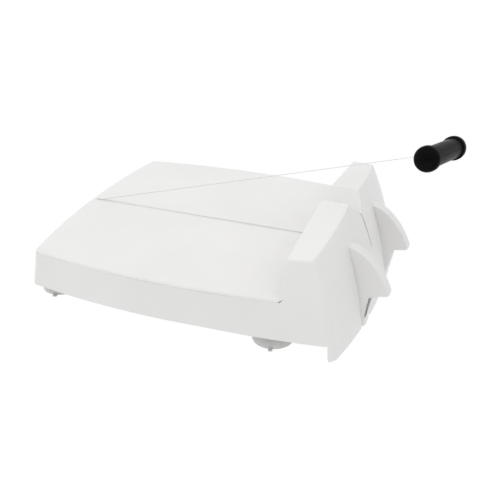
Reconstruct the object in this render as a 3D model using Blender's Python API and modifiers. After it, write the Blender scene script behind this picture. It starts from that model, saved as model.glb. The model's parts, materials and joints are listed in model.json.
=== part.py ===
"""Cheese wire cutter for whole cheeses.

A one-piece moulded board on four suction cups carries two towers at its right end.
A stainless wire is anchored at the left end of a groove in the board and ends in a
T handle. The wire is pulled down through the cheese, between the towers, into the groove.

Units are metres and +Z is up. The parts hang on the empty deck_datum, which lies in the
board's top face: x runs along the groove towards the towers, and y = 0 is the groove.
"""

import math

import bmesh
import bpy
from mathutils import Matrix, Vector

# ---------------------------------------------------------------- driving dimensions
DECK_HEIGHT = 0.0745  # the board's top face above the table
DATUM_X = -0.0362  # the middle of the cheese, seen from the middle of the overall length
WALL = 0.0035  # moulded wall

# Plan of the board, at the height of its top face
HALF_WIDTH = 0.1757  # at the widest place, BULGE_X
BULGE_X = -0.025
SIDE_RADIUS = 1.02  # the long sides are shallow arcs
LEFT_X = -0.2105
LEFT_RADIUS = 0.94
LEFT_CORNER = 0.010
END_RADIUS = 0.70  # bulge of the end face in plan
SIDE_DRAFT_UP = 0.18  # lean of the side walls per metre of height, above the deck
SIDE_DRAFT_DOWN = 0.11
LEFT_DRAFT = 0.17

# End face: x = END_X + END_LEAN * z + END_CURVE * z * z on the middle plane
END_X = 0.1963
END_LEAN = -0.3254
END_CURVE = -1.489

# Heights, from the deck
RIM_LEFT = -0.0495  # lower edge of the side walls at the left end
RIM_RIGHT = -0.0545  # and beside the towers
RIM_BREAK_X = 0.04
LIP_X = 0.1818  # the end wall reaches lower from here on
LIP_BOTTOM = -0.0741

# Towers
TOWER_X = 0.127  # foot of the face towards the cheese
TOWER_DRAFT = 0.112
APEX_Z = 0.0628
APEX_Y = 0.024
ROOF_SLOPE = 0.119
SLOT_TOP_Z = 0.040  # where the V between the towers meets the wire slot
SLOT_TOP_HALF = 0.0022
SLOT_FOOT_HALF = 0.0014
FOOT_FILLET = 0.0025

# Groove and wire
GROOVE_HALF = 0.0027
GROOVE_DEPTH = 0.0026
PIVOT_X = -0.201  # the wire bends at the mouth of its hole
PIVOT_Z = -0.0014
WIRE_RADIUS = 0.0004
WIRE_SPAN = 0.4873  # from the hole to the middle of the handle
WIRE_RISE = math.radians(16.0)  # of the raised wire

# Hooks on the end face
HOOK_Y = 0.0628
HOOK_HALF = 0.0079  # half the width of the crest
HOOK_TOP_Z = 0.0295
HOOK_UNDERSIDE_Z = -0.029
HOOK_TIP_X = 0.2358
HOOK_NOSE = 0.0022  # rounding of the crest across its width
RIB_X = 0.2120  # outer edge of the rib below the hook
RIB_BOTTOM = -0.0725
SCOOP_DEPTH = 0.0020
HOOK_SEAT = 0.0002  # how far a hook's flanks stand out of the scoops

# Suction cups
CUP_PLACES = {"left": (-0.192, 0.120), "right": (0.112, 0.1345)}  # x, and y on the far side
CUP_RADIUS = 0.0258
TAB_ANGLE = math.radians(78)  # of the tab on a cup's lip, from the x axis
CUP_TOP_Z = -0.0525  # the boss's flat end
BOSS_RADIUS = 0.0090
STEM_RADIUS = 0.0055
STEM_LENGTH = 0.012

# Handle
HANDLE_LENGTH = 0.130
GRIP_RADIUS = 0.0125
BULB_RADIUS = 0.0148
DOME_LENGTH = 0.0105
BULB_FLAT = 0.0050  # straight stretch of the bulb
BULB_STEP = 0.0030  # from the bulb down to the grip
HANDLE_TWIST = math.radians(-13.8)  # about the wire
HANDLE_YAW = math.radians(6.4)  # lean of the loose handle on its core pin
PARTING_GAP = 0.00015
CORE_RADIUS = 0.0035
CORE_HALF = 0.013
FERRULE_LENGTH = 0.0034
FERRULE_RADIUS = 0.0018
ROOM_RADIUS = 0.0090  # room for the wire's ferrule as the handle rolls
ROOM_HALF = 0.0036
SCREW_Y = (-0.034, 0.034)
GAP = 0.0003  # between touching pieces


# ---------------------------------------------------------------- scene and helpers
def clear_scene():
    for obj in list(bpy.data.objects):
        bpy.data.objects.remove(obj, do_unlink=True)


def collection(name):
    group = bpy.data.collections.new(name)
    bpy.context.scene.collection.children.link(group)
    return group


def material(name, colour, roughness, metallic=0.0, alpha=1.0):
    mat = bpy.data.materials.new(name)
    mat.use_nodes = True
    shader = mat.node_tree.nodes["Principled BSDF"]
    shader.inputs["Base Color"].default_value = (*colour, 1.0)
    shader.inputs["Roughness"].default_value = roughness
    shader.inputs["Metallic"].default_value = metallic
    shader.inputs["Alpha"].default_value = alpha
    return mat


def add_object(name, bm, group, mat=None, parent=None):
    """Makes an object from a bmesh, with its faces pointing out."""
    bmesh.ops.recalc_face_normals(bm, faces=bm.faces)
    mesh = bpy.data.meshes.new(name)
    bm.to_mesh(mesh)
    bm.free()
    obj = bpy.data.objects.new(name, mesh)
    group.objects.link(obj)
    if mat:
        mesh.materials.append(mat)
    obj.parent = parent
    return obj


def as_cutter(obj):
    obj.hide_render = True
    obj.display_type = "WIRE"
    return obj


def combine(target, other, operation="DIFFERENCE"):
    mod = target.modifiers.new(f"{operation.lower()}_{other.name}", "BOOLEAN")
    mod.operation = operation
    mod.solver = "EXACT"
    mod.object = other


def prism(outline, axis, start, end):
    """Extrudes a flat outline along an axis. Outline points are the two other coordinates."""
    bm = bmesh.new()
    places = {
        "X": lambda p: (start, p[0], p[1]),
        "Y": lambda p: (p[0], start, p[1]),
        "Z": lambda p: (p[0], p[1], start),
    }
    verts = [bm.verts.new(places[axis](p)) for p in outline]
    face = bm.faces.new(verts)
    swept = bmesh.ops.extrude_face_region(bm, geom=[face])
    moved = [v for v in swept["geom"] if isinstance(v, bmesh.types.BMVert)]
    step = {"X": (end - start, 0, 0), "Y": (0, end - start, 0), "Z": (0, 0, end - start)}
    bmesh.ops.translate(bm, verts=moved, vec=step[axis])
    return bm


def loft(rings):
    """Joins rings of equally many points, and closes both ends."""
    bm = bmesh.new()
    rows = [[bm.verts.new(p) for p in points] for points in rings]
    for low, high in zip(rows, rows[1:]):
        for i in range(len(low)):
            j = (i + 1) % len(low)
            bm.faces.new((low[i], low[j], high[j], high[i]))
    bm.faces.new(reversed(rows[0]))
    bm.faces.new(rows[-1])
    return bm


def mirrored(bm):
    """Adds the copy on the other side of the groove."""
    copy = bmesh.ops.duplicate(bm, geom=bm.verts[:] + bm.edges[:] + bm.faces[:])
    verts = [g for g in copy["geom"] if isinstance(g, bmesh.types.BMVert)]
    for vert in verts:
        vert.co.y = -vert.co.y
    return bm


def turned(name, profile, steps, group, mat=None, parent=None, closed=False):
    """A profile of (radius, z) points, from top to bottom, turned by a Screw modifier."""
    mesh = bpy.data.meshes.new(name)
    edges = [(i, i + 1) for i in range(len(profile) - 1)]
    if closed:
        edges.append((len(profile) - 1, 0))
    mesh.from_pydata([(radius, 0, z) for radius, z in profile], edges, [])
    if mat:
        mesh.materials.append(mat)
    obj = bpy.data.objects.new(name, mesh)
    group.objects.link(obj)
    obj.parent = parent
    screw = obj.modifiers.new("turn", "SCREW")
    screw.steps = screw.render_steps = steps
    screw.use_merge_vertices = True
    screw.merge_threshold = 0.00005
    return obj


def cylinder(radius, start, end, steps=24):
    """A cylinder between two points."""
    bm = bmesh.new()
    start, end = Vector(start), Vector(end)
    turn = (end - start).to_track_quat("Z", "Y").to_matrix().to_4x4()
    place = Matrix.Translation((start + end) / 2) @ turn
    length = (end - start).length
    bmesh.ops.create_cone(
        bm, cap_ends=True, segments=steps, radius1=radius, radius2=radius, depth=length, matrix=place
    )
    return bm


# ---------------------------------------------------------------- the moulded base
def side_y(x, z):
    draft = SIDE_DRAFT_UP if z > 0 else SIDE_DRAFT_DOWN
    return HALF_WIDTH - (x - BULGE_X) ** 2 / (2 * SIDE_RADIUS) - draft * z


def left_x(y, z):
    return LEFT_X + y * y / (2 * LEFT_RADIUS) + LEFT_DRAFT * z


def end_x(y, z):
    return END_X + END_LEAN * z + END_CURVE * z * z - y * y / (2 * END_RADIUS)


def end_corner(z):
    """The corner beside the tower is sharper at the top than at the foot."""
    return 0.0035 + 0.009 * min(1.0, max(0.0, (0.05 - z) / 0.12))


def meet(side, end, z, skin):
    """The corner where a side wall and an end wall meet."""
    x = end(0.15, z)
    for _ in range(6):
        y = side_y(x, z) - skin
        x = end(y, z)
    return x, y


def rounded(before, corner, after, radius, count):
    """Arc that rounds a corner between two straight-ish walls."""
    a = (Vector(before) - Vector(corner)).normalized()
    b = (Vector(after) - Vector(corner)).normalized()
    half = a.angle(b) / 2
    bisector = (a + b).normalized()
    centre = Vector(corner) + bisector * (radius / math.sin(half))
    start = Vector(corner) + a * (radius / math.tan(half)) - centre
    end = Vector(corner) + b * (radius / math.tan(half)) - centre
    turn = start.angle_signed(end)
    return [
        centre + Matrix.Rotation(-turn * k / count, 2) @ start for k in range(count + 1)
    ]


def half_outline(z, skin):
    """Plan outline for y > 0, from the left end round to the end face."""
    left = lambda y, h: left_x(y, h) + skin
    right = lambda y, h: end_x(y, h) - skin
    xl, yl = meet(side_y, left, z, skin)
    xr, yr = meet(side_y, right, z, skin)
    radius_l = LEFT_CORNER - skin
    radius_r = max(0.001, end_corner(z) - skin)
    points = [Vector((left(yl * k / 6, z), yl * k / 6)) for k in range(6)]
    corner = Vector((xl, yl))
    after = Vector((xl + 0.03, side_y(xl + 0.03, z) - skin))
    points += rounded(points[-1], corner, after, radius_l, 5)
    stretch = [xl + 0.03 + (xr - xl - 0.06) * k / 14 for k in range(15)]
    points += [Vector((x, side_y(x, z) - skin)) for x in stretch]
    corner = Vector((xr, yr))
    after = Vector((right(yr * 0.85, z), yr * 0.85))
    points += rounded(points[-1], corner, after, radius_r, 4)
    points += [Vector((right(yr * k / 8, z), yr * k / 8)) for k in range(7, -1, -1)]
    return points


def plan_ring(z, skin):
    half = half_outline(z, skin)
    other = [Vector((p.x, -p.y)) for p in reversed(half[1:-1])]
    return [(p.x, p.y, z) for p in half + other]


def fillet_corner(x, z, radius, count=4):
    """Concave fillet where a tower stands on the deck, as points of the cutter's outline."""
    angles = [math.pi / 2 * k / count for k in range(count + 1)]
    return [
        (x - radius + radius * math.sin(a), z + radius - radius * math.cos(a)) for a in angles
    ]


def deck_space(skin):
    """The room above the deck, up to the towers' inner faces."""
    top = 0.09
    far = -0.30
    outline = [(far, -skin)]
    outline += fillet_corner(TOWER_X + skin, -skin, FOOT_FILLET)
    outline += [(TOWER_X + skin + TOWER_DRAFT * top, top), (far, top)]
    return prism(outline, "Y", -0.25, 0.25)


def roof_z(y, skin):
    return APEX_Z - ROOF_SLOPE * (abs(y) - APEX_Y) - skin


def crown_space(skin):
    """Everything above the two roofs, with the V between them."""
    width, top = 0.22, 0.12
    across = skin * 1.42
    mouth = SLOT_TOP_HALF + skin
    apex = APEX_Y + skin * 0.42
    foot_z = SLOT_TOP_Z - across + skin
    right = [(mouth, foot_z), (apex, roof_z(apex, skin)), (width, roof_z(width, skin))]
    left = [(-y, z) for y, z in reversed(right)]
    outline = left + right + [(width, top), (-width, top)]
    return prism(outline, "X", 0.10, 0.26)


def wire_slot(skin):
    """The narrow slot below the V, down to the level of the groove."""
    floor = -GROOVE_DEPTH - skin
    top_z = SLOT_TOP_Z + 0.001
    top, foot = SLOT_TOP_HALF + skin, SLOT_FOOT_HALF + skin
    outline = [(-top, top_z), (-foot, floor), (foot, floor), (top, top_z)]
    return prism(outline, "X", TOWER_X - 0.006 if skin == 0 else 0.10, 0.26)


def below_rim():
    """What is cut away below the side walls, up to the lip of the end wall."""
    low, far = -0.10, -0.30
    outline = [(far, low), (LIP_X + 0.0008, low), (LIP_X, RIM_RIGHT)]
    outline += [(RIM_BREAK_X, RIM_LEFT), (far, RIM_LEFT)]
    return prism(outline, "Y", -0.25, 0.25)


def body(name, skin, bottom, group, parts):
    """The outer body, or with a skin the space inside it."""
    count = 9
    top = 0.070
    levels = [bottom + (top - bottom) * k / count for k in range(count + 1)]
    obj = add_object(name, loft([plan_ring(z, skin) for z in levels]), group)
    for label, space in (("deck", deck_space), ("crown", crown_space), ("slot", wire_slot)):
        if label == "slot" and skin == 0:
            continue
        cutter = add_object(f"{name}_{label}_space", space(skin), parts)
        combine(obj, as_cutter(cutter))
    return obj


def crest_point(t):
    """The hook's crest seen from the side, a Bezier from the end face to the tip."""
    ends = [(0.181, HOOK_TOP_Z), (0.207, 0.0275), (0.2285, -0.0045), (HOOK_TIP_X, -0.0255)]
    weights = [(1 - t) ** 3, 3 * t * (1 - t) ** 2, 3 * t * t * (1 - t), t**3]
    x = sum(w * p[0] for w, p in zip(weights, ends))
    z = sum(w * p[1] for w, p in zip(weights, ends))
    return x, z


def scoop_at(z, side):
    """Centre x and y, half length and half width of the scoop beside a hook at height z."""
    depth = HOOK_TOP_Z + 0.0025 - z
    long = 0.026 + 0.2 * depth
    wide = 0.0004 + 0.105 * depth / (1 + depth / 0.16)
    y = HOOK_Y + side * (HOOK_HALF + wide)
    return end_x(y, z) - SCOOP_DEPTH + long, y, long, wide


def scoops(group):
    """Tapering hollows on both sides of each hook, wider towards the foot."""
    steps = 40
    angles = [2 * math.pi * k / steps for k in range(steps)]
    levels = [-0.080, *[crest_point(k / 6)[1] for k in range(6, -1, -1)], HOOK_TOP_Z + 0.0012]
    found = []
    for side in (1, -1):
        rings = []
        for z in levels:
            x, y, long, wide = scoop_at(z, side)
            rings.append([(x + long * math.cos(a), y + wide * math.sin(a), z) for a in angles])
        found.append(as_cutter(add_object(f"scoop_{side}", mirrored(loft(rings)), group)))
    return found


def hook_flank(z, crest_x, nose, side):
    """One concave flank of a hook, from inside the wall to the crest."""
    centre, _, long, wide = scoop_at(z, side)
    back = end_x(HOOK_Y, z) - 0.0030
    reach = crest_x - nose
    flank = []
    for k in range(7):
        x = back + (reach - back) * (k / 6) ** 0.8
        share = min(1.0, abs(centre - x) / long)
        flank.append((x, HOOK_HALF + HOOK_SEAT + wide * (1 - math.sqrt(1 - share * share))))
    half = flank[-1][1]
    for k in range(1, 4):
        angle = math.pi / 2 * k / 4
        flank.append((reach + nose * math.sin(angle), half * math.cos(angle)))
    return [(x, HOOK_Y + side * y, z) for x, y in flank]


def hook_section(z, crest_x):
    """Horizontal section of a hook: two flanks that meet in a rounded crest."""
    near = hook_flank(z, crest_x, HOOK_NOSE, -1)
    far = hook_flank(z, crest_x, HOOK_NOSE, 1)
    return far + [(crest_x, HOOK_Y, z)] + near[::-1]


def hooks(group):
    """The two hooks, each a loft of horizontal sections down its crest."""
    rings = []
    for k in range(1, 13):
        x, z = crest_point(k / 12)
        rings.append(hook_section(z, x))
    rings.append(hook_section(HOOK_UNDERSIDE_Z, HOOK_TIP_X - 0.0010))
    return as_cutter(add_object("hook_solid", mirrored(loft(rings)), group))


def hook_ribs(group):
    """The ribs that run on below the hooks."""
    rings = []
    root_z, foot_x = HOOK_UNDERSIDE_Z + 0.003, RIB_X - 0.0015
    for z, x in ((root_z, RIB_X + 0.005), (-0.0605, RIB_X), (-0.0640, foot_x), (RIB_BOTTOM, foot_x)):
        rings.append(hook_section(z, x))
    return as_cutter(add_object("rib_solid", mirrored(loft(rings)), group))


def groove(group):
    """Round-bottomed groove along the deck."""
    outline = [(GROOVE_HALF, 0.002)]
    for k in range(9):
        angle = math.pi * k / 8
        outline.append((GROOVE_HALF * math.cos(angle), -GROOVE_DEPTH * math.sin(angle) ** 0.8))
    outline.append((-GROOVE_HALF, 0.002))
    return as_cutter(add_object("groove_space", prism(outline, "X", PIVOT_X - 0.002, 0.130), group))


def base_solids(group):
    """Ribs, cup bosses and the wire's boss on the underside, and the holes in them."""
    solids = []
    for y in (-0.075, 0.075):
        outline = [(-0.204, -0.001), (-0.204, -0.016), (0.19, -0.016), (0.19, -0.001)]
        solids.append(prism(outline, "Y", y - 0.00125, y + 0.00125))
    for x in (-0.125, -0.03, 0.065):
        outline = [(-0.168, -0.001), (-0.168, -0.016), (0.168, -0.016), (0.168, -0.001)]
        solids.append(prism(outline, "X", x - 0.00125, x + 0.00125))
    solids.append(cylinder(0.008, (PIVOT_X, 0, -0.001), (PIVOT_X, 0, -0.0135), 24))
    holes = [cylinder(0.0016, (PIVOT_X, 0, 0.004), (PIVOT_X, 0, -0.03), 20)]
    top = CUP_TOP_Z + STEM_LENGTH + 0.001
    for x, far_y in CUP_PLACES.values():
        for y in (-far_y, far_y):
            solids.append(cylinder(BOSS_RADIUS, (x, y, -0.001), (x, y, CUP_TOP_Z), 32))
            holes.append(cylinder(STEM_RADIUS + GAP, (x, y, top), (x, y, -0.08), 24))
    added = [add_object(f"inner_{i}", bm, group) for i, bm in enumerate(solids)]
    drilled = [add_object(f"hole_{i}", bm, group) for i, bm in enumerate(holes)]
    return [as_cutter(o) for o in added], [as_cutter(o) for o in drilled]


def make_base(parts, cutters, mat, datum):
    base = body("base_shell", 0.0, LIP_BOTTOM, parts, cutters)
    base.data.materials.append(mat)
    combine(base, as_cutter(add_object("below_rim", below_rim(), cutters)))
    combine(base, as_cutter(body("base_cavity", WALL, -0.085, cutters, cutters)))
    for scoop in scoops(cutters):
        combine(base, scoop)
    combine(base, hooks(cutters), "UNION")
    combine(base, hook_ribs(cutters), "UNION")
    added, drilled = base_solids(cutters)
    for solid in added:
        combine(base, solid, "UNION")
    slot = as_cutter(add_object("slot_space", wire_slot(0.0), cutters))
    for cutter in [*drilled, groove(cutters), slot]:
        combine(base, cutter)
    base.parent = datum
    for cutter in cutters.objects:
        cutter.parent = datum
    return base


# ---------------------------------------------------------------- suction cups
def cup_profile():
    """Outside from the top of the stem to the lip, then the hollow underneath."""
    ground = -DECK_HEIGHT
    top = CUP_TOP_Z + STEM_LENGTH
    neck = CUP_TOP_Z - GAP
    outside = [
        (0, top),
        (STEM_RADIUS - 0.001, top),
        (STEM_RADIUS, top - 0.001),
        (STEM_RADIUS, neck),
        (0.0100, neck),
        (0.0105, neck - 0.0005),
        (0.0105, neck - 0.0030),
    ]
    shoulder, edge = neck - 0.0030, ground + 0.0012
    for k in range(1, 8):
        angle = math.pi / 2 * k / 7
        radius = 0.0105 + (CUP_RADIUS - 0.0105) * math.sin(angle)
        outside.append((radius, edge + (shoulder - edge) * math.cos(angle)))
    outside += [(CUP_RADIUS - 0.0005, ground), (CUP_RADIUS - 0.0018, ground)]
    hollow = CUP_RADIUS - 0.0030
    inside = [
        (hollow * math.cos(math.pi / 2 * k / 6), ground + 0.0010 + 0.0095 * math.sin(math.pi / 2 * k / 6))
        for k in range(7)
    ]
    inside[-1] = (0, inside[-1][1])
    return outside + inside


def make_cup(name, x, y, tab_angle, group, mat, datum):
    """A suction cup with a small tab on its lip for breaking the suction."""
    cup = turned(name, cup_profile(), 40, group, mat, datum)
    tab = bmesh.new()
    bmesh.ops.create_cube(tab, size=1.0)
    bmesh.ops.scale(tab, vec=(0.006, 0.005, 0.0014), verts=tab.verts)
    bmesh.ops.translate(tab, vec=(CUP_RADIUS + 0.0018, 0, 0.0012 - DECK_HEIGHT), verts=tab.verts)
    pull = as_cutter(add_object(f"{name}_tab", tab, bpy.data.collections["cutters"], None, cup))
    combine(cup, pull, "UNION")
    cup.location = (x, y, 0)
    cup.rotation_euler = (0, 0, tab_angle)
    return cup


# ---------------------------------------------------------------- wire and its anchor
def make_anchor(group, steel, datum):
    """The wire's tail through the deck, with the washer and the ferrule that hold it."""
    foot = -0.0135 - GAP
    tail = cylinder(WIRE_RADIUS, (PIVOT_X, 0, PIVOT_Z - 0.0011), (PIVOT_X, 0, -0.0215), 12)
    add_object("wire_tail", tail, group, steel, datum)
    section = [(0.0055, foot), (0.0055, foot - 0.0012), (0.0008, foot - 0.0012), (0.0008, foot)]
    washer = turned("tail_washer", section, 24, group, steel, datum, closed=True)
    washer.location = (PIVOT_X, 0, 0)
    top = foot - 0.0012 - GAP
    section = [(0.0021, top), (0.0021, top - 0.005), (0.00075, top - 0.005), (0.00075, top)]
    ferrule = turned("tail_ferrule", section, 24, group, steel, datum, closed=True)
    ferrule.location = (PIVOT_X, 0, 0)


def make_wire(group, steel, pivot):
    """The cutting span, along the pivot's X axis, and the ferrule on its far end."""
    end = WIRE_SPAN + CORE_RADIUS + GAP + FERRULE_LENGTH
    span = cylinder(WIRE_RADIUS, (0.0007, 0, 0), (end, 0, 0), 12)
    add_object("cutting_wire", span, group, steel, pivot)
    start = WIRE_SPAN + CORE_RADIUS + GAP
    far = start + FERRULE_LENGTH
    section = [(FERRULE_RADIUS, far), (FERRULE_RADIUS, start), (0.0007, start), (0.0007, far)]
    ferrule = turned("end_ferrule", section, 24, group, steel, pivot, closed=True)
    ferrule.rotation_euler = (0, math.pi / 2, 0)


# ---------------------------------------------------------------- handle
def handle_profile():
    """Radius and place along the handle: a domed bulb at each end of the grip."""
    half = HANDLE_LENGTH / 2
    one = []
    for k in range(9):
        angle = math.pi / 2 * k / 8
        drop = DOME_LENGTH * (1 - math.cos(angle))
        one.append((BULB_RADIUS * math.sin(angle) ** 0.85, half - drop))
    neck = half - DOME_LENGTH - BULB_FLAT
    for k in range(5):
        share = k / 4
        ease = share * share * (3 - 2 * share)
        one.append((BULB_RADIUS + (GRIP_RADIUS - BULB_RADIUS) * ease, neck - BULB_STEP * share))
    return one + [(r, -z) for r, z in reversed(one)]


def wire_mouth(radius, half_angle, half_width):
    """Fan-shaped mouth for the wire, so that the handle can roll about its core pin."""
    angles = [half_angle * (k / 3 - 1) for k in range(7)]
    fan = [(-radius * math.cos(a), radius * math.sin(a)) for a in angles]
    return prism([(0, -0.0012), *fan, (0, 0.0012)], "Y", -half_width, half_width)


def make_handle(group, cutters, black, steel, frame):
    """Two half shells screwed together round the core pin. The frame's Y is the long axis."""
    rooms = [
        cylinder(CORE_RADIUS + GAP, (0, -CORE_HALF - GAP, 0), (0, CORE_HALF + GAP, 0), 32),
        cylinder(ROOM_RADIUS, (0, -ROOM_HALF, 0), (0, ROOM_HALF, 0), 32),
        wire_mouth(0.020, math.radians(30), ROOM_HALF),
    ]
    for y in SCREW_Y:
        rooms.append(cylinder(0.0032, (0, y, -0.0135), (0, y, -0.0068), 20))
        rooms.append(cylinder(0.0018, (0, y, -0.0075), (0, y, 0.0075), 16))
    spaces = [add_object(f"handle_room_{i}", bm, cutters, None, frame) for i, bm in enumerate(rooms)]
    for name, sign in (("handle_upper_shell", 1), ("handle_lower_shell", -1)):
        shell = turned(name, handle_profile(), 56, group, black, frame)
        shell.rotation_euler = (-math.pi / 2, 0, 0)
        other = bmesh.new()
        bmesh.ops.create_cube(other, size=0.2)
        shift = -sign * (0.1 - PARTING_GAP)
        bmesh.ops.translate(other, vec=(0, 0, shift), verts=other.verts)
        combine(shell, as_cutter(add_object(f"{name}_cut", other, cutters, None, frame)))
        for space in spaces:
            combine(shell, as_cutter(space))
    for index, y in enumerate(SCREW_Y, 1):
        screw = turned(f"handle_screw_{index}", screw_profile(), 20, group, steel, frame)
        screw.location = (0, y, 0)


def screw_profile():
    """Shank up into the upper shell, and a flat head in the lower one."""
    return [
        (0, 0.0066),
        (0.0009, 0.0066),
        (0.0015, 0.0058),
        (0.0015, -0.0073),
        (0.0028, -0.0073),
        (0.0028, -0.0088),
        (0.0022, -0.0095),
        (0, -0.0095),
    ]


def make_core(group, cutters, steel, frame, wire_frame):
    """The cross pin that the wire passes through, on the handle's long axis."""
    pin = cylinder(CORE_RADIUS, (0, -CORE_HALF, 0), (0, CORE_HALF, 0), 32)
    core = add_object("core_pin", pin, group, steel, frame)
    hole = cylinder(0.0008, (WIRE_SPAN - 0.02, 0, 0), (WIRE_SPAN + 0.02, 0, 0), 16)
    cutter = as_cutter(add_object("core_hole", hole, cutters, None, wire_frame))
    combine(core, cutter)


def empty(name, group, location, rotation, parent):
    obj = bpy.data.objects.new(name, None)
    obj.empty_display_size = 0.02
    group.objects.link(obj)
    obj.location = location
    obj.rotation_euler = rotation
    obj.parent = parent
    return obj


def main():
    clear_scene()
    parts = collection("cheese_wire_cutter")
    cutters = collection("cutters")
    white = material("white_plastic", (0.86, 0.86, 0.85), 0.42)
    clear = material("clear_vinyl", (0.78, 0.80, 0.81), 0.25)
    black = material("black_plastic", (0.02, 0.02, 0.022), 0.28)
    steel = material("stainless_steel", (0.72, 0.73, 0.74), 0.25, 1.0)

    datum = empty("deck_datum", parts, (DATUM_X, 0, DECK_HEIGHT), (0, 0, 0), None)
    make_base(parts, cutters, white, datum)
    for end, (x, far_y) in CUP_PLACES.items():
        for edge, sign in (("front", -1), ("rear", 1)):
            name = f"suction_cup_{edge}_{end}"
            make_cup(name, x, sign * far_y, sign * TAB_ANGLE, parts, clear, datum)

    make_anchor(parts, steel, datum)
    pivot = empty("wire_pivot", parts, (PIVOT_X, 0, PIVOT_Z), (0, -WIRE_RISE, 0), datum)
    make_wire(parts, steel, pivot)
    frame = empty("handle_frame", parts, (WIRE_SPAN, 0, 0), (HANDLE_TWIST, 0, -HANDLE_YAW), pivot)
    make_core(parts, cutters, steel, frame, pivot)
    make_handle(parts, cutters, black, steel, frame)


main()
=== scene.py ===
"""Looks of the cheese wire cutter: the moulded board rebuilt with rounded edges, and every material.

The board is built in its own frame, in metres: x runs along the groove towards the towers,
y = 0 is the groove and z = 0 is the deck. Half of it is made, and then mirrored.
"""

import json
import math

import bmesh
import bpy
from mathutils import Matrix, Vector


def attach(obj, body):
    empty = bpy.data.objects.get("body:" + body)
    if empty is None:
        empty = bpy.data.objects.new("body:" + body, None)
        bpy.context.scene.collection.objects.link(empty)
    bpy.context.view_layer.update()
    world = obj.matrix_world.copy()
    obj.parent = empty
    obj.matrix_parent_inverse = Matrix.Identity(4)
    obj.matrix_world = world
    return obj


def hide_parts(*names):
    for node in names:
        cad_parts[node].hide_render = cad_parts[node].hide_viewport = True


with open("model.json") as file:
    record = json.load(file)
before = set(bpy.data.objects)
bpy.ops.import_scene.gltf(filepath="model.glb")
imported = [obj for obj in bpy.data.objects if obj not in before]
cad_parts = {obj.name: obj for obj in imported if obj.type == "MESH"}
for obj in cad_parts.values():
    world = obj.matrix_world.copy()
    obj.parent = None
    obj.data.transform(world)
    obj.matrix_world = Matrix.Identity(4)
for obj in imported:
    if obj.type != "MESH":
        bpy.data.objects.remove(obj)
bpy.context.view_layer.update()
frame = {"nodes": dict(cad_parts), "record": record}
joints = {joint["name"]: joint for joint in frame["record"]["behaviour"]["joints"]}
mounts = {mount["name"]: mount for mount in frame["record"]["mounts"]}

# ---------------------------------------------------------------- driving dimensions
PIVOT_X = -0.201  # mouth of the wire's hole
DATUM = Vector((joints["wire_swing"]["pos_m"][0] - PIVOT_X, 0, mounts["deck_top"]["pos_m"][2]))
WALL = 0.0035

HALF_WIDTH = 0.1757
BULGE_X = -0.025
SIDE_RADIUS = 1.02
LEFT_X = -0.2105
LEFT_RADIUS = 0.94
LEFT_CORNER = 0.010
END_RADIUS = 0.70
SIDE_DRAFT_UP = 0.18
SIDE_DRAFT_DOWN = 0.11
LEFT_DRAFT = 0.17
END_X = 0.1963
END_LEAN = -0.3254
END_CURVE = -1.489
CORNER_TOP = (0.0035, 0.05)  # radius of the corner beside a tower, and the height it grows from
CORNER_GROWTH = (0.0125, 0.12, 1.3)  # growth, the height that it takes, and its power

RIM_LEFT = -0.0495
RIM_RIGHT = -0.0545
RIM_BREAK_X = 0.04
LIP_X = 0.1818
LIP_BOTTOM = -0.0741

TOWER_X = 0.127
TOWER_DRAFT = 0.112
APEX_Z = 0.0628
APEX_Y = 0.024
ROOF_SLOPE = 0.119
SLOT_TOP_Z = 0.040
SLOT_TOP_HALF = 0.0022
SLOT_FOOT_HALF = 0.0014
GROOVE_HALF = 0.0027
GROOVE_DEPTH = 0.0026

HOOK_Y = 0.0628
HOOK_HALF = 0.0079
HOOK_NOSE = 0.0022
HOOK_TOP_Z = 0.0295
HOOK_UNDERSIDE_Z = -0.0290
HOOK_TIP_X = 0.2358
HOOK_TIP_Z = -0.0255
RIB_TOP_Z = -0.0315
RIB_X = 0.2120
RIB_STEP_Z = -0.0625
RIB_REACH = 0.0055  # how far the rib's top stands out past RIB_X
RIB_STEP = 0.0015  # the rib steps back by this much at RIB_STEP_Z
CREST_CURVE = [(0.181, HOOK_TOP_Z), (0.207, 0.0275), (0.2285, -0.0045), (HOOK_TIP_X, HOOK_TIP_Z)]
SCOOP_DEPTH = 0.0042
SCOOP_LENGTH = (0.026, 0.2)  # half the ellipse's length at its start, and growth per metre of height
SCOOP_WIDTH = (0.0004, 0.105, 0.16)  # the same for its width, and the height that halves the growth
SCOOP_RUN_IN = 0.03  # height over which it reaches its full depth
GAP_DEPTH = 0.0055  # of the upright gap in the rib's outer flank
GAP_TOP_Z = -0.0345
GAP_FOOT_Z = -0.0615
GAP_ROOM = 0.0034  # from the crest's rounding in to the gap's inner edge
GAP_STATIONS = (0.92, 0.86, 0.14, 0.08)  # the gap's four edges, as shares of that room

# Underside
RIB_LINES = [((-0.204, 0.075), (0.190, 0.075)), ((-0.204, -0.075), (0.190, -0.075))]
RIB_LINES += [((x, -0.168), (x, 0.168)) for x in (-0.125, -0.030, 0.065)]
STIFFENER_FOOT = -0.0160
CUP_PLACES = {"left": (-0.192, 0.120), "right": (0.112, 0.1345)}  # x, and y on the far side
CUP_TOP_Z = -0.0525
CUP_BOSS_RADIUS = 0.0090
STEM_HOLE = (0.0058, -0.0395)  # radius and ceiling
WIRE_BOSS_RADIUS = 0.008
WIRE_BOSS_FOOT = -0.0135
WIRE_HOLE_RADIUS = 0.0016
ROOT_Z = -0.0032  # where the underside's pieces are rooted in the deck
ROOT_FILLET = 0.0005
BOSS_DRAFT = 0.0005  # how much wider a boss is at the deck than at its foot
BOSS_EDGE = 0.0008
HOLE_EDGE = 0.0005
SHARP_ANGLE = 0.6  # radians between faces, from which the underside's edges stay sharp

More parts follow.
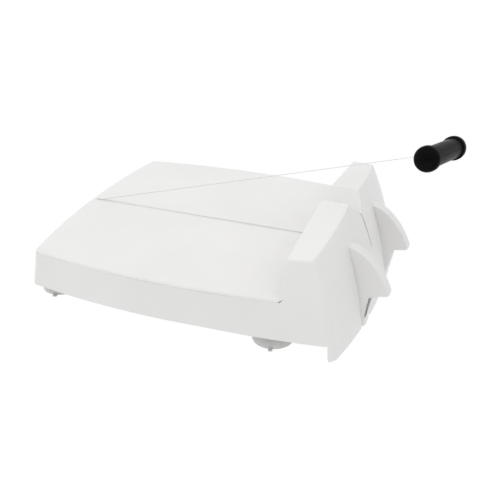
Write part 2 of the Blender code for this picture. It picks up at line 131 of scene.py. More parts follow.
# Edge radii of the moulding
DECK_EDGE = 0.0045
TOWER_EDGE = 0.0020
RIDGE_EDGE = 0.0015
SLOT_EDGE = 0.0007
FOOT_FILLET = 0.0025
GROOVE_EDGE = 0.0006
RIM_EDGE = 0.0009
HOOK_EDGE = 0.0009
CREASE_EDGE = 0.0005
LIP_CORNER = 0.0030

# How finely the moulding is divided
LEFT_STEPS = 12
LEFT_ARC = 8
DECK_STEPS = 28
GROOVE_STEPS = 4
GROOVE_TURNS = 3
TOWER_STEPS = 8
END_ARC = 10
LIP_COLUMN = 2  # of the end arc, where the lip begins
FACE_STEPS = 9
SCOOP_STEPS = 3
FLANK_STEPS = 8
NOSE_STEPS = 5
NOSE_POWER = 0.7  # squareness of the crest
HOOK_ROWS_UP = [0.0300, 0.0290, 0.0278, 0.0262, 0.0240, 0.0210, 0.0170, 0.0125, 0.0080, 0.0030]
HOOK_ROWS_DOWN = [-0.008, -0.013, -0.018, -0.0225, HOOK_TIP_Z, HOOK_UNDERSIDE_Z, RIB_TOP_Z]
HOOK_ROWS_DOWN += [GAP_TOP_Z, GAP_TOP_Z - 0.0004, -0.045, RIM_RIGHT]
LIP_HEIGHTS = [GAP_FOOT_Z + 0.0004, GAP_FOOT_Z, RIB_STEP_Z, RIB_STEP_Z - 0.0025]
LIP_HEIGHTS += [LIP_BOTTOM + 0.0045, LIP_BOTTOM]
CROWN_SHARES = [0.0, 0.3, 0.5, 0.7, 0.85, 1.0]
HOOK_START_Z = 0.032
LIP_ROWS = len(LIP_HEIGHTS)
UP_ROWS = len(CROWN_SHARES) - 1 + len(HOOK_ROWS_UP)
DOWN_ROWS = len(HOOK_ROWS_DOWN) + 1
LOW_ROW = UP_ROWS + DOWN_ROWS  # of the rim beside the lip

# Camera, in the board's frame
CAMERA_PLACE = Vector((0.3460, -0.8356, 0.4446))
CAMERA_TILT = math.radians(61.55)
CAMERA_TURN = math.radians(20.62)
FOCAL_LENGTH = 53.65  # mm, on a sensor 36 mm wide

# Studio
SKY_AXIS = (-0.10, -0.10, 1.0)  # the sky is brightest in this direction
SKY_LOW = 0.45
SKY_HIGH = 1.36
KEY_PLACE = (-0.7, -0.9, 1.7)
KEY_TARGET = (0.0, 0.0, 0.05)
KEY_SIZE = 1.0
KEY_POWER = 1.5
FLOOR_SIZE = 6.0
FLOOR_GLOW = 1.0


# ---------------------------------------------------------------- camera
def make_camera():
    data = bpy.data.cameras.new("camera")
    camera = bpy.data.objects.new("camera", data)
    bpy.context.scene.collection.objects.link(camera)
    data.sensor_width = 36.0
    data.lens = FOCAL_LENGTH
    data.clip_start = 0.05
    camera.location = DATUM + CAMERA_PLACE
    camera.rotation_euler = (CAMERA_TILT, 0, CAMERA_TURN)
    bpy.context.scene.camera = camera


# ---------------------------------------------------------------- small helpers
def link(obj):
    bpy.context.scene.collection.objects.link(obj)
    return obj


def finished(name, bm, material, location=(0, 0, 0)):
    """An object made from a bmesh, with its material."""
    mesh = bpy.data.meshes.new(name)
    bm.to_mesh(mesh)
    bm.free()
    mesh.materials.append(material)
    obj = link(bpy.data.objects.new(name, mesh))
    obj.location = location
    return obj


def lerp(a, b, share):
    """The value a share of the way from a to b."""
    return a + (b - a) * share


# ---------------------------------------------------------------- the board's walls in plan
def side_y(x, z):
    draft = SIDE_DRAFT_UP if z > 0 else SIDE_DRAFT_DOWN
    return HALF_WIDTH - (x - BULGE_X) ** 2 / (2 * SIDE_RADIUS) - draft * z


def left_x(y, z):
    return LEFT_X + y * y / (2 * LEFT_RADIUS) + LEFT_DRAFT * z


def end_x(y, z):
    return END_X + END_LEAN * z + END_CURVE * z * z - y * y / (2 * END_RADIUS)


def end_corner(z):
    """The corner beside a tower is sharper at the top than at the foot."""
    radius, start_z = CORNER_TOP
    growth, height, power = CORNER_GROWTH
    return radius + growth * min(1.0, max(0.0, (start_z - z) / height)) ** power


def meet(end, z, skin):
    """The corner where a side wall and an end wall meet."""
    x = end(0.15)
    for _ in range(8):
        y = side_y(x, z) - skin
        x = end(y)
    return Vector((x, y))


def rounded(before, corner, after, radius, count):
    """Arc that rounds a corner between two nearly straight walls."""
    a = (before - corner).normalized()
    b = (after - corner).normalized()
    half = a.angle(b) / 2
    centre = corner + (a + b).normalized() * (radius / math.sin(half))
    start = corner + a * (radius / math.tan(half)) - centre
    end = corner + b * (radius / math.tan(half)) - centre
    turn = start.angle_signed(end)
    return [centre + Matrix.Rotation(-turn * k / count, 2) @ start for k in range(count + 1)]


def outline(z, skin):
    """Half the plan at height z, from the left end round to where the end face begins."""
    near = 0.02
    left = lambda y: left_x(y, z) + skin
    right = lambda y: end_x(y, z) - skin
    side = lambda x: Vector((x, side_y(x, z) - skin))
    corner = meet(left, z, skin)
    before = Vector((left(corner.y - near), corner.y - near))
    arc = rounded(before, corner, side(corner.x + near), LEFT_CORNER - skin, LEFT_ARC)
    points = [Vector((left(arc[0].y * k / LEFT_STEPS), arc[0].y * k / LEFT_STEPS)) for k in range(LEFT_STEPS)]
    points += arc
    face = TOWER_X + TOWER_DRAFT * max(z, 0.0) + skin
    points += [side(lerp(arc[-1].x, face, k / DECK_STEPS)) for k in range(1, DECK_STEPS + 1)]
    corner = meet(right, z, skin)
    after = Vector((right(corner.y - near), corner.y - near))
    radius = max(0.001, end_corner(z) - skin)
    arc = rounded(side(corner.x - near), corner, after, radius, END_ARC)
    points += [side(lerp(face, arc[0].x, k / TOWER_STEPS)) for k in range(1, TOWER_STEPS)]
    return points + arc


TOWER_COLUMN = LEFT_STEPS + LEFT_ARC + DECK_STEPS
END_COLUMN = TOWER_COLUMN + TOWER_STEPS + END_ARC
LIP_START = TOWER_COLUMN + TOWER_STEPS + LIP_COLUMN


def rim_z(x):
    share = (x - RIM_BREAK_X) / (LIP_X - RIM_BREAK_X)
    return lerp(RIM_LEFT, RIM_RIGHT, min(1.0, max(0.0, share)))


def crown_z(y, skin):
    """Height of a tower's top: its roof, or the side of the V towards the groove."""
    apex = APEX_Y + 0.42 * skin
    top = APEX_Z - ROOF_SLOPE * (apex - APEX_Y) - skin
    if y >= apex:
        return top - ROOF_SLOPE * (y - apex)
    mouth, foot = slot_mouth(skin)
    return lerp(foot, top, (y - mouth) / (apex - mouth))


def slot_mouth(skin):
    """Half width and height of the slot's mouth at the foot of the V."""
    return SLOT_TOP_HALF + skin, SLOT_TOP_Z - 0.42 * skin


def slot_half(z, skin):
    share = (z + GROOVE_DEPTH) / (SLOT_TOP_Z + GROOVE_DEPTH)
    return lerp(SLOT_FOOT_HALF, SLOT_TOP_HALF, share) + skin


# ---------------------------------------------------------------- the end face with its hooks
def crest(z):
    """How far a hook's crest stands out at height z: a Bezier curve, then the tip and the rib."""
    if z <= RIB_STEP_Z - 0.002:
        return RIB_X - RIB_STEP
    if z <= RIB_TOP_Z:
        return RIB_X + RIB_REACH * max(0.0, (z - RIB_STEP_Z) / (RIB_TOP_Z - RIB_STEP_Z))
    if z <= HOOK_TIP_Z:
        share = (HOOK_TIP_Z - z) / (HOOK_TIP_Z - HOOK_UNDERSIDE_Z)
        return HOOK_TIP_X - 0.0010 * share * share
    low, high = 0.0, 1.0
    for _ in range(30):
        t = (low + high) / 2
        weights = [(1 - t) ** 3, 3 * t * (1 - t) ** 2, 3 * t * t * (1 - t), t**3]
        if sum(w * p[1] for w, p in zip(weights, CREST_CURVE)) > z:
            low = t
        else:
            high = t
    return sum(w * p[0] for w, p in zip(weights, CREST_CURVE))


def scoop(z, side):
    """Deepest x, half length and half width of the elliptical scoop beside a hook."""
    depth = HOOK_START_Z - z
    long = SCOOP_LENGTH[0] + SCOOP_LENGTH[1] * depth
    wide = SCOOP_WIDTH[0] + SCOOP_WIDTH[1] * depth / (1 + depth / SCOOP_WIDTH[2])
    middle = HOOK_Y + side * (HOOK_HALF + wide)
    sunk = SCOOP_DEPTH * min(1.0, depth / SCOOP_RUN_IN)
    return end_x(middle, z) - sunk, long, wide


def crease_angle(z, side):
    """Where the scoop's ellipse comes out of the end face."""
    deepest, long, wide = scoop(z, side)
    low, high = 0.0, 1.4
    for _ in range(30):
        angle = (low + high) / 2
        y = HOOK_Y + side * (HOOK_HALF + wide * (1 + math.sin(angle)))
        if deepest + long * (1 - math.cos(angle)) < end_x(y, z):
            low = angle
        else:
            high = angle
    return angle


def hook_flank(z, side, open_gap):
    """Points (x, y) from the crease down into the scoop and out along the hook to its crest.

    Four of them make the upright gap in the outer flank of the rib.
    """
    deepest, long, wide = scoop(z, side)
    open_angle = crease_angle(z, side)
    points = []
    for k in range(SCOOP_STEPS):
        angle = open_angle * (1 - k / SCOOP_STEPS)
        offset = HOOK_HALF + wide * (1 + math.sin(angle))
        points.append((deepest + long * (1 - math.cos(angle)), offset))
    tip = max(crest(z), end_x(HOOK_Y, z) + 0.0002)
    nose = min(HOOK_NOSE, tip - deepest - 0.0001)
    reach = tip - nose
    room = min(GAP_ROOM, 0.25 * (reach - deepest))
    stations = [lerp(deepest, reach - room, (k / FLANK_STEPS) ** 2) for k in range(FLANK_STEPS + 1)]
    stations += [reach - room * share for share in GAP_STATIONS] + [reach]
    pushed = (FLANK_STEPS + 2, FLANK_STEPS + 3) if open_gap and side > 0 else ()
    for k, x in enumerate(stations):
        share = max(0.0, 1 - (x - deepest) / long)
        offset = HOOK_HALF + wide * (1 - math.sqrt(1 - share * share))
        points.append((x, offset - (GAP_DEPTH if k in pushed else 0.0)))
    half = points[-1][1]
    for k in range(1, NOSE_STEPS):
        angle = math.pi / 2 * k / NOSE_STEPS
        points.append((reach + nose * math.sin(angle), half * math.cos(angle) ** NOSE_POWER))
    return [Vector((x, HOOK_Y + side * offset)) for x, offset in points]


def hook_columns(z, skin):
    """The hook's section from its outer crease over the crest to its inner crease."""
    level = min(z, HOOK_ROWS_UP[0])
    open_gap = skin == 0 and GAP_FOOT_Z + 1e-5 < z < GAP_TOP_Z - 1e-5
    outer = hook_flank(level, 1, open_gap)
    inner = hook_flank(level, -1, open_gap)
    tip = max(crest(level), end_x(HOOK_Y, level) + 0.0002)
    section = outer + [Vector((tip, HOOK_Y))] + inner[::-1]
    if z > HOOK_ROWS_UP[0]:
        return [Vector((end_x(p.y, z) - skin, p.y)) for p in section]
    if skin == 0:
        return section
    return [Vector((min(end_x(p.y, z), p.x) - skin, p.y)) for p in section]


def face_row(z, start, skin):
    """All columns of the end face at height z, from its corner to the wire slot."""
    hook = hook_columns(z, skin)
    points = []
    for k in range(1, FACE_STEPS):
        y = lerp(start.y, hook[0].y, k / FACE_STEPS)
        points.append(Vector((end_x(y, z) - skin, y)))
    points += hook
    apex = APEX_Y + 0.42 * skin
    stops = [lerp(hook[-1].y, apex, k / 4) for k in range(1, 5)]
    stops += [lerp(apex, slot_half(min(z, slot_mouth(skin)[1]), skin), k / 4) for k in range(1, 5)]
    points += [Vector((end_x(y, z) - skin, y)) for y in stops]
    return points


HOOK_COLUMN = END_COLUMN + FACE_STEPS
HOOK_WIDTH = 2 * (SCOOP_STEPS + FLANK_STEPS + len(GAP_STATIONS) + 1 + NOSE_STEPS) + 1
APEX_COLUMN = HOOK_COLUMN + HOOK_WIDTH - 1 + 4
SLOT_COLUMN = APEX_COLUMN + 4
MIDDLE_COLUMN = SLOT_COLUMN + 1


def plan_row(z, skin):
    """Every column's (x, y) at one height."""
    points = outline(z, skin)
    points += face_row(z, points[-1], skin)
    points.append(Vector((end_x(0, z) - skin, 0.0)))
    return points


# ---------------------------------------------------------------- half of a shell surface
def row_height(row, column, top, rim, skin):
    """Height of a row in a column that reaches from its top down to its rim."""
    crowns = len(CROWN_SHARES)
    deck = -skin
    floor = min(-GROOVE_DEPTH, -skin)
    if row < crowns:
        return lerp(top, HOOK_START_Z, CROWN_SHARES[row])
    on_face = column > END_COLUMN
    if row < UP_ROWS:
        return HOOK_ROWS_UP[row - crowns]
    if row == UP_ROWS:
        return HOOK_ROWS_UP[-1] if on_face else deck
    if row <= LOW_ROW:
        if on_face:
            return [floor, *HOOK_ROWS_DOWN][row - UP_ROWS - 1]
        return lerp(deck, rim, (row - UP_ROWS) / DOWN_ROWS)
    return LIP_HEIGHTS[row - UP_ROWS - DOWN_ROWS - 1]


def rows_of(column):
    """First and last row of a column."""
    first = UP_ROWS if column < TOWER_COLUMN else 0
    if column == MIDDLE_COLUMN:
        first = UP_ROWS + 1
    last = LOW_ROW
    return first, last + (LIP_ROWS if column >= LIP_START else 0)


def wall_grid(bm, skin):
    """Vertices of the walls, by row and column."""
    cache = {}

    def at(z, column):
        key = round(z, 7)
        if key not in cache:
            cache[key] = plan_row(z, skin)
        return cache[key][column]

    grid = {}
    for column in range(MIDDLE_COLUMN + 1):
        first, last = rows_of(column)
        top = SLOT_TOP_Z + 0.005  # a first guess, which the loop corrects
        if first == 0:
            for _ in range(5):
                top = crown_z(at(top, column).y, skin)
        rim = rim_z(at(RIM_LEFT, column).x)
        for row in range(first, last + 1):
            z = row_height(row, column, top, rim, skin)
            p = at(z, column)
            grid[row, column] = bm.verts.new((p.x, p.y, z))
    return grid


def wall_faces(bm, grid):
    for row, column in list(grid):
        corners = [(row, column), (row + 1, column), (row + 1, column + 1), (row, column + 1)]
        if all(key in grid for key in corners):
            bm.faces.new([grid[key] for key in corners])


def mark(bm, verts, radius):
    """Gives the edges along a chain of vertices the radius that the bevel makes there."""
    layer = bm.edges.layers.float["bevel_weight_edge"]
    for a, b in zip(verts, verts[1:]):
        edge = bm.edges.get((a, b))
        if edge:
            edge[layer] = radius / DECK_EDGE


def top_faces(bm, grid, skin, hole_rim):
    """Deck, tower face, roof, V and wire slot: flat faces between the walls and the wire's hole."""
    new = lambda x, y, z: bm.verts.new((x, y, z))
    deck = -skin
    face_x = lambda z: TOWER_X + TOWER_DRAFT * max(z, 0.0) + skin
    apex = APEX_Y + 0.42 * skin
    mouth, mouth_z = slot_mouth(skin)
    peak_z = crown_z(apex, skin)
    peak = new(face_x(peak_z), apex, peak_z)
    slot_top = new(face_x(mouth_z), mouth, mouth_z)
    slot_deck = new(face_x(deck), slot_half(deck, skin), deck)
    border = [grid[row, TOWER_COLUMN] for row in range(UP_ROWS, -1, -1)]
    crown = [grid[0, column] for column in range(TOWER_COLUMN, APEX_COLUMN + 1)]
    notch = [grid[0, column] for column in range(APEX_COLUMN, SLOT_COLUMN + 1)]
    slot_edge = [grid[row, SLOT_COLUMN] for row in range(UP_ROWS + 2)]
    plan = [grid[UP_ROWS, column] for column in range(TOWER_COLUMN + 1)]
    middle = grid[UP_ROWS + 1, MIDDLE_COLUMN]
    if skin:
        floor = new(face_x(deck), 0, deck)
        bm.faces.new([*plan, slot_deck, floor, *hole_rim])
        bm.faces.new([slot_deck, *border, peak, slot_top])
        bm.faces.new([floor, slot_deck, slot_edge[-1], middle])
        bm.faces.new([slot_deck, slot_top, *slot_edge])
    else:
        groove = groove_faces(bm, slot_deck, hole_rim)
        bm.faces.new([*plan, *groove["edge"]])
        bm.faces.new([slot_deck, groove["edge"][0], *border, peak, slot_top])
        bm.faces.new([groove["floor"], groove["foot"], slot_edge[-1], middle])
        bm.faces.new([groove["foot"], slot_deck, slot_top, *slot_edge])
        mark(bm, plan, DECK_EDGE)
        mark(bm, [plan[-1], groove["edge"][0]], FOOT_FILLET)
        mark(bm, groove["edge"], GROOVE_EDGE)
        mark(bm, [slot_deck, slot_top], SLOT_EDGE)
    bm.faces.new([peak, *crown])
    bm.faces.new([slot_top, peak, *notch])
    if not skin:
        mark(bm, [*border, peak], TOWER_EDGE)
        mark(bm, [peak, slot_top], RIDGE_EDGE)
        mark(bm, crown, TOWER_EDGE)
        mark(bm, notch, RIDGE_EDGE)
        mark(bm, [peak, crown[-1]], RIDGE_EDGE)
        mark(bm, [slot_top, notch[-1]], SLOT_EDGE)
        mark(bm, slot_edge, SLOT_EDGE)


def groove_depth(y):
    return GROOVE_DEPTH * (1 - (y / GROOVE_HALF) ** 2) ** 0.4


def groove_half(k):
    """Half the groove's width at the k-th of the steps down its side."""
    return GROOVE_HALF * math.cos(math.pi / 2 * k / GROOVE_STEPS) if k < GROOVE_STEPS else 0.0


def wire_hole(bm):
    """Half the wire's hole through the deck: its rim in the groove and its rim underneath."""
    swings = [0.0, math.asin(groove_half(GROOVE_STEPS - 1) / WIRE_HOLE_RADIUS)]
    swings += [math.pi / 2 * (1 + j / GROOVE_TURNS) for j in range(GROOVE_TURNS)]
    places = [(PIVOT_X + WIRE_HOLE_RADIUS * math.cos(a), WIRE_HOLE_RADIUS * math.sin(a)) for a in swings]
    places.append((PIVOT_X - WIRE_HOLE_RADIUS, 0.0))
    across = [y if x > PIVOT_X else WIRE_HOLE_RADIUS for x, y in places]
    upper_rim = [bm.verts.new((x, y, -groove_depth(side))) for (x, y), side in zip(places, across)]
    lower_rim = [bm.verts.new((x, y, -WALL)) for x, y in places]
    for k in range(len(places) - 1):
        bm.faces.new([upper_rim[k], upper_rim[k + 1], lower_rim[k + 1], lower_rim[k]])
    return upper_rim, lower_rim


def groove_faces(bm, slot_deck, hole_rim):
    """Half the groove, with the wire's hole in its round left end, up to the wire slot."""
    rows = []
    for k in range(GROOVE_STEPS + 1):
        half = groove_half(k)
        z = -groove_depth(half)
        row = [bm.verts.new((TOWER_X, half, z))]
        if half > WIRE_HOLE_RADIUS:
            for j in range(GROOVE_TURNS + 1):
                swing = math.pi / 2 * j / GROOVE_TURNS
                y = half * math.cos(swing) if j < GROOVE_TURNS else 0.0
                row.append(bm.verts.new((PIVOT_X - half * math.sin(swing), y, z)))
        rows.append(row)
    round_rows = [row for row in rows if len(row) > 1]
    for upper, lower in zip(round_rows, round_rows[1:]):
        for j in range(GROOVE_TURNS + 1):
            bm.faces.new([upper[j], upper[j + 1], lower[j + 1], lower[j]])
    last = round_rows[-1]
    floor_rows = [row[0] for row in rows[len(round_rows):]]
    bm.faces.new([last[0], last[1], hole_rim[2], hole_rim[1], floor_rows[0]])
    bm.faces.new([floor_rows[0], hole_rim[1], hole_rim[0], floor_rows[1]])
    for j in range(GROOVE_TURNS):
        bm.faces.new([last[j + 1], last[j + 2], hole_rim[j + 3], hole_rim[j + 2]])
    foot = bm.verts.new((TOWER_X, SLOT_FOOT_HALF, -GROOVE_DEPTH))
    profile = [row[0] for row in rows]
    bm.faces.new([*profile, foot, slot_deck])
    return {"edge": rows[0], "foot": foot, "floor": profile[-1]}


def rim_loop(grid):
    """The lower boundary of a shell surface, with the step down to the lip."""
    loop = [grid[LOW_ROW, column] for column in range(LIP_START + 1)]
    loop += [grid[LOW_ROW + k, LIP_START] for k in range(1, LIP_ROWS + 1)]
    loop += [grid[LOW_ROW + LIP_ROWS, column] for column in range(LIP_START + 1, MIDDLE_COLUMN + 1)]
    return loop


def mark_hook(bm, grid):
    """Edge radii along the creases beside a hook and round its underside."""
    low = LOW_ROW + LIP_ROWS
    for column in (HOOK_COLUMN, HOOK_COLUMN + HOOK_WIDTH - 1):
        crease = [grid[row, column] for row in range(len(CROWN_SHARES) + 6, low + 1)]
        mark(bm, crease, CREASE_EDGE)
    row = UP_ROWS + 2 + HOOK_ROWS_DOWN.index(HOOK_UNDERSIDE_Z)
    skip = SCOOP_STEPS + 3
    columns = range(HOOK_COLUMN + skip, HOOK_COLUMN + HOOK_WIDTH - skip)
    mark(bm, [grid[row, column] for column in columns], HOOK_EDGE)


def moulding():
    """The whole board as one closed surface: outside, inside and the rim between them."""
    bm = bmesh.new()
    bm.edges.layers.float.new("bevel_weight_edge")
    upper_rim, lower_rim = wire_hole(bm)
    outer = wall_grid(bm, 0.0)
    wall_faces(bm, outer)
    top_faces(bm, outer, 0.0, upper_rim)
    inner = wall_grid(bm, WALL)
    wall_faces(bm, inner)
    top_faces(bm, inner, WALL, lower_rim)
    outside, inside = rim_loop(outer), rim_loop(inner)
    for k in range(len(outside) - 1):
        bm.faces.new([outside[k], outside[k + 1], inside[k + 1], inside[k]])
    mark(bm, outside, RIM_EDGE)
    mark(bm, inside, RIM_EDGE)
    mark(bm, [outer[LOW_ROW + LIP_ROWS, LIP_START], inner[LOW_ROW + LIP_ROWS, LIP_START]], LIP_CORNER)
    mark_hook(bm, outer)
    copy = bmesh.ops.duplicate(bm, geom=bm.verts[:] + bm.edges[:] + bm.faces[:])
    for item in copy["geom"]:
        if isinstance(item, bmesh.types.BMVert):
            item.co.y = -item.co.y
    bmesh.ops.remove_doubles(bm, verts=[v for v in bm.verts if abs(v.co.y) < 1e-6], dist=1e-6)
    bmesh.ops.recalc_face_normals(bm, faces=bm.faces)
    return bm


def make_board(material):
    bm = moulding()
    for face in bm.faces:
        face.smooth = True
    board = finished("board", bm, material, DATUM)
    bevel = board.modifiers.new("rounded_edges", "BEVEL")
    bevel.limit_method = "WEIGHT"
    bevel.width = DECK_EDGE
    bevel.segments = 4
    bevel.use_clamp_overlap = False
    bevel.offset_type = "OFFSET"
    weighted = board.modifiers.new("flat_faces", "WEIGHTED_NORMAL")
    weighted.keep_sharp = True
    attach(board, "base")
    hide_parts("base_shell")
    return board


# ---------------------------------------------------------------- the underside
def turned(bm, profile, centre, steps=40):
    """Adds a closed profile of (radius, z) points, turned about a vertical line."""
    rings = []
    for radius, z in profile:
        count = steps if radius > 0 else 1
        angles = [2 * math.pi * k / steps for k in range(count)]
        places = [(centre[0] + radius * math.cos(a), centre[1] + radius * math.sin(a), z) for a in angles]
        rings.append([bm.verts.new(place) for place in places])
    pairs = list(zip(rings, rings[1:]))
    if profile[0][0] > 0:
        pairs.append((rings[-1], rings[0]))
    for upper, lower in pairs:
        for k in range(steps):
            j = (k + 1) % steps
            quad = [ring[n % len(ring)] for ring, n in ((upper, k), (upper, j), (lower, j), (lower, k))]
            bm.faces.new(list(dict.fromkeys(quad)))


def boss_profile(radius, foot, hole, ceiling):
    """A boss that widens into the deck, with rounded edges at its foot and round its hole."""
    blind = ceiling < ROOT_Z
    profile = [(0 if blind else hole, ROOT_Z)]
    for k in range(4):
        angle = math.pi / 2 * k / 3
        grown = ROOT_FILLET * (1 - math.sin(angle))
        profile.append((radius + BOSS_DRAFT + grown, ROOT_Z - ROOT_FILLET * (1 - math.cos(angle))))
    profile += [(radius, foot + BOSS_EDGE), (radius - 0.00025, foot + 0.0002), (radius - BOSS_EDGE, foot)]
    profile += [(hole + HOLE_EDGE, foot), (hole + 0.00015, foot + 0.00015), (hole, foot + HOLE_EDGE)]
    if blind:
        profile += [(hole, ceiling - HOLE_EDGE), (hole - HOLE_EDGE, ceiling), (0, ceiling)]
    return profile


def add_stiffener(bm, start, end):
    """A drafted rib under the deck, with a rounded foot and a fillet at its root."""
    start, end = Vector(start), Vector(end)
    across = (end - start).orthogonal().normalized()
    half = [(0.0034, ROOT_Z), (0.0022, ROOT_Z - 0.0006), (0.0016, ROOT_Z - 0.0020)]
    foot = STIFFENER_FOOT
    half += [(0.00125, foot + 0.0008), (0.00095, foot + 0.0002), (0.00045, foot)]
    section = half + [(-offset, z) for offset, z in reversed(half)]
    rings = []
    for place in (start, end):
        points = [place + across * offset for offset, _ in section]
        rings.append([bm.verts.new((p.x, p.y, z)) for p, (_, z) in zip(points, section)])
    for k in range(len(section)):
        j = (k + 1) % len(section)
        bm.faces.new([rings[0][k], rings[0][j], rings[1][j], rings[1][k]])
    bm.faces.new(rings[0])
    bm.faces.new(rings[1])


def smooth_with_flats(bm):
    """Smooth shading that keeps the sharp edges."""
    bmesh.ops.recalc_face_normals(bm, faces=bm.faces)
    for face in bm.faces:
        face.smooth = True
    for edge in bm.edges:
        edge.smooth = edge.calc_face_angle(0) < SHARP_ANGLE


def make_underside(material):
    """Stiffening ribs, the cups' bosses and the wire's boss."""
    ribs = bmesh.new()
    for start, end in RIB_LINES:
        add_stiffener(ribs, start, end)
    bosses = bmesh.new()
    for x, far_y in CUP_PLACES.values():
        for y in (-far_y, far_y):
            turned(bosses, boss_profile(CUP_BOSS_RADIUS, CUP_TOP_Z, *STEM_HOLE), (x, y))
    turned(bosses, boss_profile(WIRE_BOSS_RADIUS, WIRE_BOSS_FOOT, WIRE_HOLE_RADIUS, 0), (PIVOT_X, 0))
    for name, bm in (("stiffening_ribs", ribs), ("bosses", bosses)):
        smooth_with_flats(bm)
        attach(finished(name, bm, material, DATUM), "base")


# ---------------------------------------------------------------- materials
WHITE_TONES = ((0.692, 0.687, 0.682), (0.715, 0.710, 0.705))
BLACK_TONES = ((0.0040, 0.0040, 0.0045), (0.0065, 0.0065, 0.0070))
VINYL_TONES = ((0.55, 0.55, 0.54), (0.62, 0.62, 0.61))
STEEL_TONES = ((0.55, 0.56, 0.57), (0.70, 0.71, 0.72))


def new_material(name, colour, roughness):
    mat = bpy.data.materials.new(name)
    mat.use_nodes = True
    shader = mat.node_tree.nodes["Principled BSDF"]
    shader.inputs["Base Color"].default_value = (*colour, 1.0)
    shader.inputs["Roughness"].default_value = roughness
    return mat, mat.node_tree, shader


def noise(tree, scale, detail, stretch=(1, 1, 1)):
    """Noise in object coordinates."""
    coords = tree.nodes.new("ShaderNodeTexCoord")
    mapping = tree.nodes.new("ShaderNodeMapping")
    mapping.inputs["Scale"].default_value = stretch
    texture = tree.nodes.new("ShaderNodeTexNoise")
    texture.inputs["Scale"].default_value = scale
    texture.inputs["Detail"].default_value = detail
    tree.links.new(coords.outputs["Object"], mapping.inputs["Vector"])
    tree.links.new(mapping.outputs["Vector"], texture.inputs["Vector"])
    return texture


def span(tree, source, low, high):
    """Maps a texture's middle range to two values."""
    node = tree.nodes.new("ShaderNodeMapRange")
    node.inputs["From Min"].default_value = 0.3
    node.inputs["From Max"].default_value = 0.7
    node.inputs["To Min"].default_value = low
    node.inputs["To Max"].default_value = high
    tree.links.new(source, node.inputs["Value"])
    return node.outputs["Result"]


def blend_colour(tree, factor, tones, socket):
    """Colours a socket between two tones, by a texture's middle range."""
    ramp = tree.nodes.new("ShaderNodeValToRGB")
    for element, position, tone in zip(ramp.color_ramp.elements, (0.35, 0.65), tones):
        element.position = position
        element.color = (*tone, 1.0)
    tree.links.new(factor, ramp.inputs["Fac"])
    tree.links.new(ramp.outputs["Color"], socket)


def add_bump(tree, shader, source, strength, distance):
    bump = tree.nodes.new("ShaderNodeBump")
    bump.inputs["Strength"].default_value = strength
    bump.inputs["Distance"].default_value = distance
    tree.links.new(source, bump.inputs["Height"])
    tree.links.new(bump.outputs["Normal"], shader.inputs["Normal"])


def white_plastic():
    """Satin white moulding with a fine spark-eroded grain."""
    mat, tree, shader = new_material("white_plastic", (0.70, 0.695, 0.69), 0.42)
    broad = noise(tree, 9.0, 3.0)
    blend_colour(tree, broad.outputs["Fac"], WHITE_TONES, shader.inputs["Base Color"])
    grain = noise(tree, 1400.0, 2.0)
    tree.links.new(span(tree, noise(tree, 60.0, 4.0).outputs["Fac"], 0.38, 0.47), shader.inputs["Roughness"])
    add_bump(tree, shader, grain.outputs["Fac"], 0.12, 0.00008)
    shader.inputs["Subsurface Weight"].default_value = 0.06
    shader.inputs["Subsurface Radius"].default_value = (0.004, 0.004, 0.004)
    shader.inputs["Specular IOR Level"].default_value = 0.4
    return mat


def black_plastic():
    """Satin-gloss black, with faint flow marks."""
    mat, tree, shader = new_material("black_plastic", (0.005, 0.005, 0.0055), 0.3)
    cloud = noise(tree, 45.0, 4.0)
    blend_colour(tree, cloud.outputs["Fac"], BLACK_TONES, shader.inputs["Base Color"])
    tree.links.new(span(tree, cloud.outputs["Fac"], 0.24, 0.33), shader.inputs["Roughness"])
    add_bump(tree, shader, noise(tree, 1800.0, 2.0).outputs["Fac"], 0.10, 0.00006)
    shader.inputs["Specular IOR Level"].default_value = 0.012
    return mat


def clear_vinyl():
    """Clear soft vinyl, milky with age."""
    mat, tree, shader = new_material("clear_vinyl", (0.58, 0.58, 0.57), 0.22)
    cloud = noise(tree, 70.0, 3.0)
    blend_colour(tree, cloud.outputs["Fac"], VINYL_TONES, shader.inputs["Base Color"])
    tree.links.new(span(tree, cloud.outputs["Fac"], 0.16, 0.28), shader.inputs["Roughness"])
    add_bump(tree, shader, noise(tree, 300.0, 2.0).outputs["Fac"], 0.08, 0.0002)
    shader.inputs["Transmission Weight"].default_value = 0.15
    shader.inputs["Subsurface Weight"].default_value = 0.25
    shader.inputs["Subsurface Radius"].default_value = (0.01, 0.01, 0.01)
    shader.inputs["IOR"].default_value = 1.45
    return mat


def steel(name, stretch, roughness):
    """Drawn or turned stainless steel, with fine marks along the stretch."""
    mat, tree, shader = new_material(name, (0.62, 0.63, 0.64), roughness)
    shader.inputs["Metallic"].default_value = 1.0
    marks = noise(tree, 900.0, 3.0, stretch)
    blend_colour(tree, marks.outputs["Fac"], STEEL_TONES, shader.inputs["Base Color"])
    uneven = span(tree, marks.outputs["Fac"], roughness - 0.06, roughness + 0.08)
    tree.links.new(uneven, shader.inputs["Roughness"])
    add_bump(tree, shader, marks.outputs["Fac"], 0.15, 0.00004)
    return mat


def dress(nodes, material):
    """Gives CAD nodes that keep their shape a finished material."""
    for name in nodes:
        node = frame["nodes"][name]
        node.data.materials.clear()
        node.data.materials.append(material)


# ---------------------------------------------------------------- studio


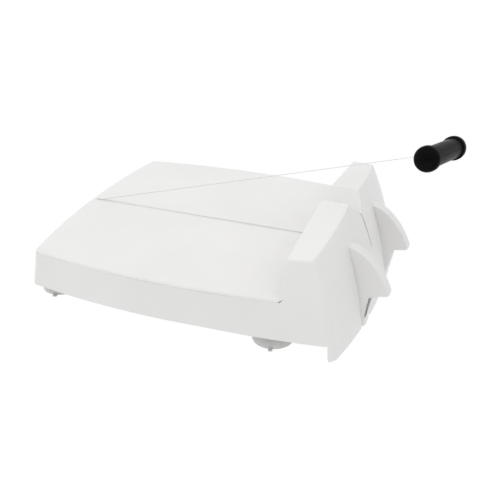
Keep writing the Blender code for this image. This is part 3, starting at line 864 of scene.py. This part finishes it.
def area_light(name, location, target, size, power):
    data = bpy.data.lights.new(name, "AREA")
    data.shape = "DISK"
    data.size = size
    data.energy = power
    light = link(bpy.data.objects.new(name, data))
    light.location = location
    aim = Vector(target) - Vector(location)
    light.rotation_euler = aim.to_track_quat("-Z", "Y").to_euler()


def make_sky():
    """Even studio light, brighter above and to the front left."""
    world = bpy.data.worlds.new("studio")
    bpy.context.scene.world = world
    world.use_nodes = True
    tree = world.node_tree
    coords = tree.nodes.new("ShaderNodeTexCoord")
    toward = tree.nodes.new("ShaderNodeVectorMath")
    toward.operation = "DOT_PRODUCT"
    toward.inputs[1].default_value = Vector(SKY_AXIS).normalized()
    tree.links.new(coords.outputs["Generated"], toward.inputs[0])
    level = tree.nodes.new("ShaderNodeMapRange")
    level.inputs["From Min"].default_value = -0.6
    level.inputs["From Max"].default_value = 1.0
    level.inputs["To Min"].default_value = SKY_LOW
    level.inputs["To Max"].default_value = SKY_HIGH
    tree.links.new(toward.outputs["Value"], level.inputs["Value"])
    tree.links.new(level.outputs["Result"], tree.nodes["Background"].inputs["Strength"])
    tree.nodes["Background"].inputs["Color"].default_value = (1, 1, 1, 1)


def make_studio():
    bpy.context.scene.view_settings.view_transform = "Standard"
    floor = bmesh.new()
    bmesh.ops.create_grid(floor, x_segments=2, y_segments=2, size=FLOOR_SIZE)
    mat, _, shader = new_material("studio_floor", (0.0, 0.0, 0.0), 1.0)
    shader.inputs["Specular IOR Level"].default_value = 0.0
    shader.inputs["Emission Color"].default_value = (1.0, 1.0, 1.0, 1.0)
    shader.inputs["Emission Strength"].default_value = FLOOR_GLOW
    finished("studio_floor", floor, mat)
    make_sky()
    area_light("key", KEY_PLACE, KEY_TARGET, KEY_SIZE, KEY_POWER)


make_camera()
make_studio()
white = white_plastic()
make_board(white)
make_underside(white)
dress(["handle_upper_shell", "handle_lower_shell"], black_plastic())
cups = [name for name in frame["nodes"] if name.startswith("suction_cup")]
dress(cups, clear_vinyl())
dress(["cutting_wire", "wire_tail"], steel("drawn_steel", (1, 1, 1), 0.28))
turned = ["tail_washer", "tail_ferrule", "end_ferrule", "core_pin", "handle_screw_1", "handle_screw_2"]
dress(turned, steel("turned_steel", (1, 1, 6), 0.32))
